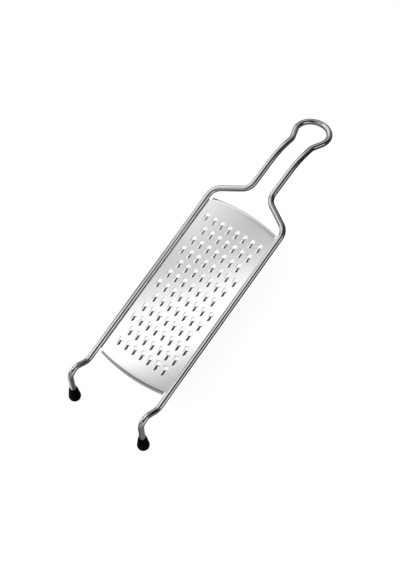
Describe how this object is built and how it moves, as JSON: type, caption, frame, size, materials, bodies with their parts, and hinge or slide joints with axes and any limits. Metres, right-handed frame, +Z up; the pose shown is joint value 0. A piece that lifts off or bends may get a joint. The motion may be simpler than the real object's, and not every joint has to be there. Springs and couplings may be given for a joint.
{
  "type": "hand grater",
  "caption": "Flat hand grater: a punched steel sheet between the rails of a bent wire that forms the handle, the hanging loop and the legs, which end in rubber foot caps.",
  "frame": {"origin": "on the table, under the middle of the grater's overall box", "axes": "+Y along the grater from the feet to the hanging loop, +Z up from the table, +X across the plate"},
  "size_m": [0.109, 0.4098, 0.053],
  "materials": {
    "wire": "polished stainless wire with a faint drawn grain",
    "sheet": "satin stainless sheet with bright punched teeth",
    "rubber_cap": "matte black moulded rubber"
  },
  "bodies": {
    "root": {"wire_frame": "wire", "grating_plate": "sheet", "foot_cap_left": "rubber_cap", "foot_cap_right": "rubber_cap"}
  },
  "joints": []
}
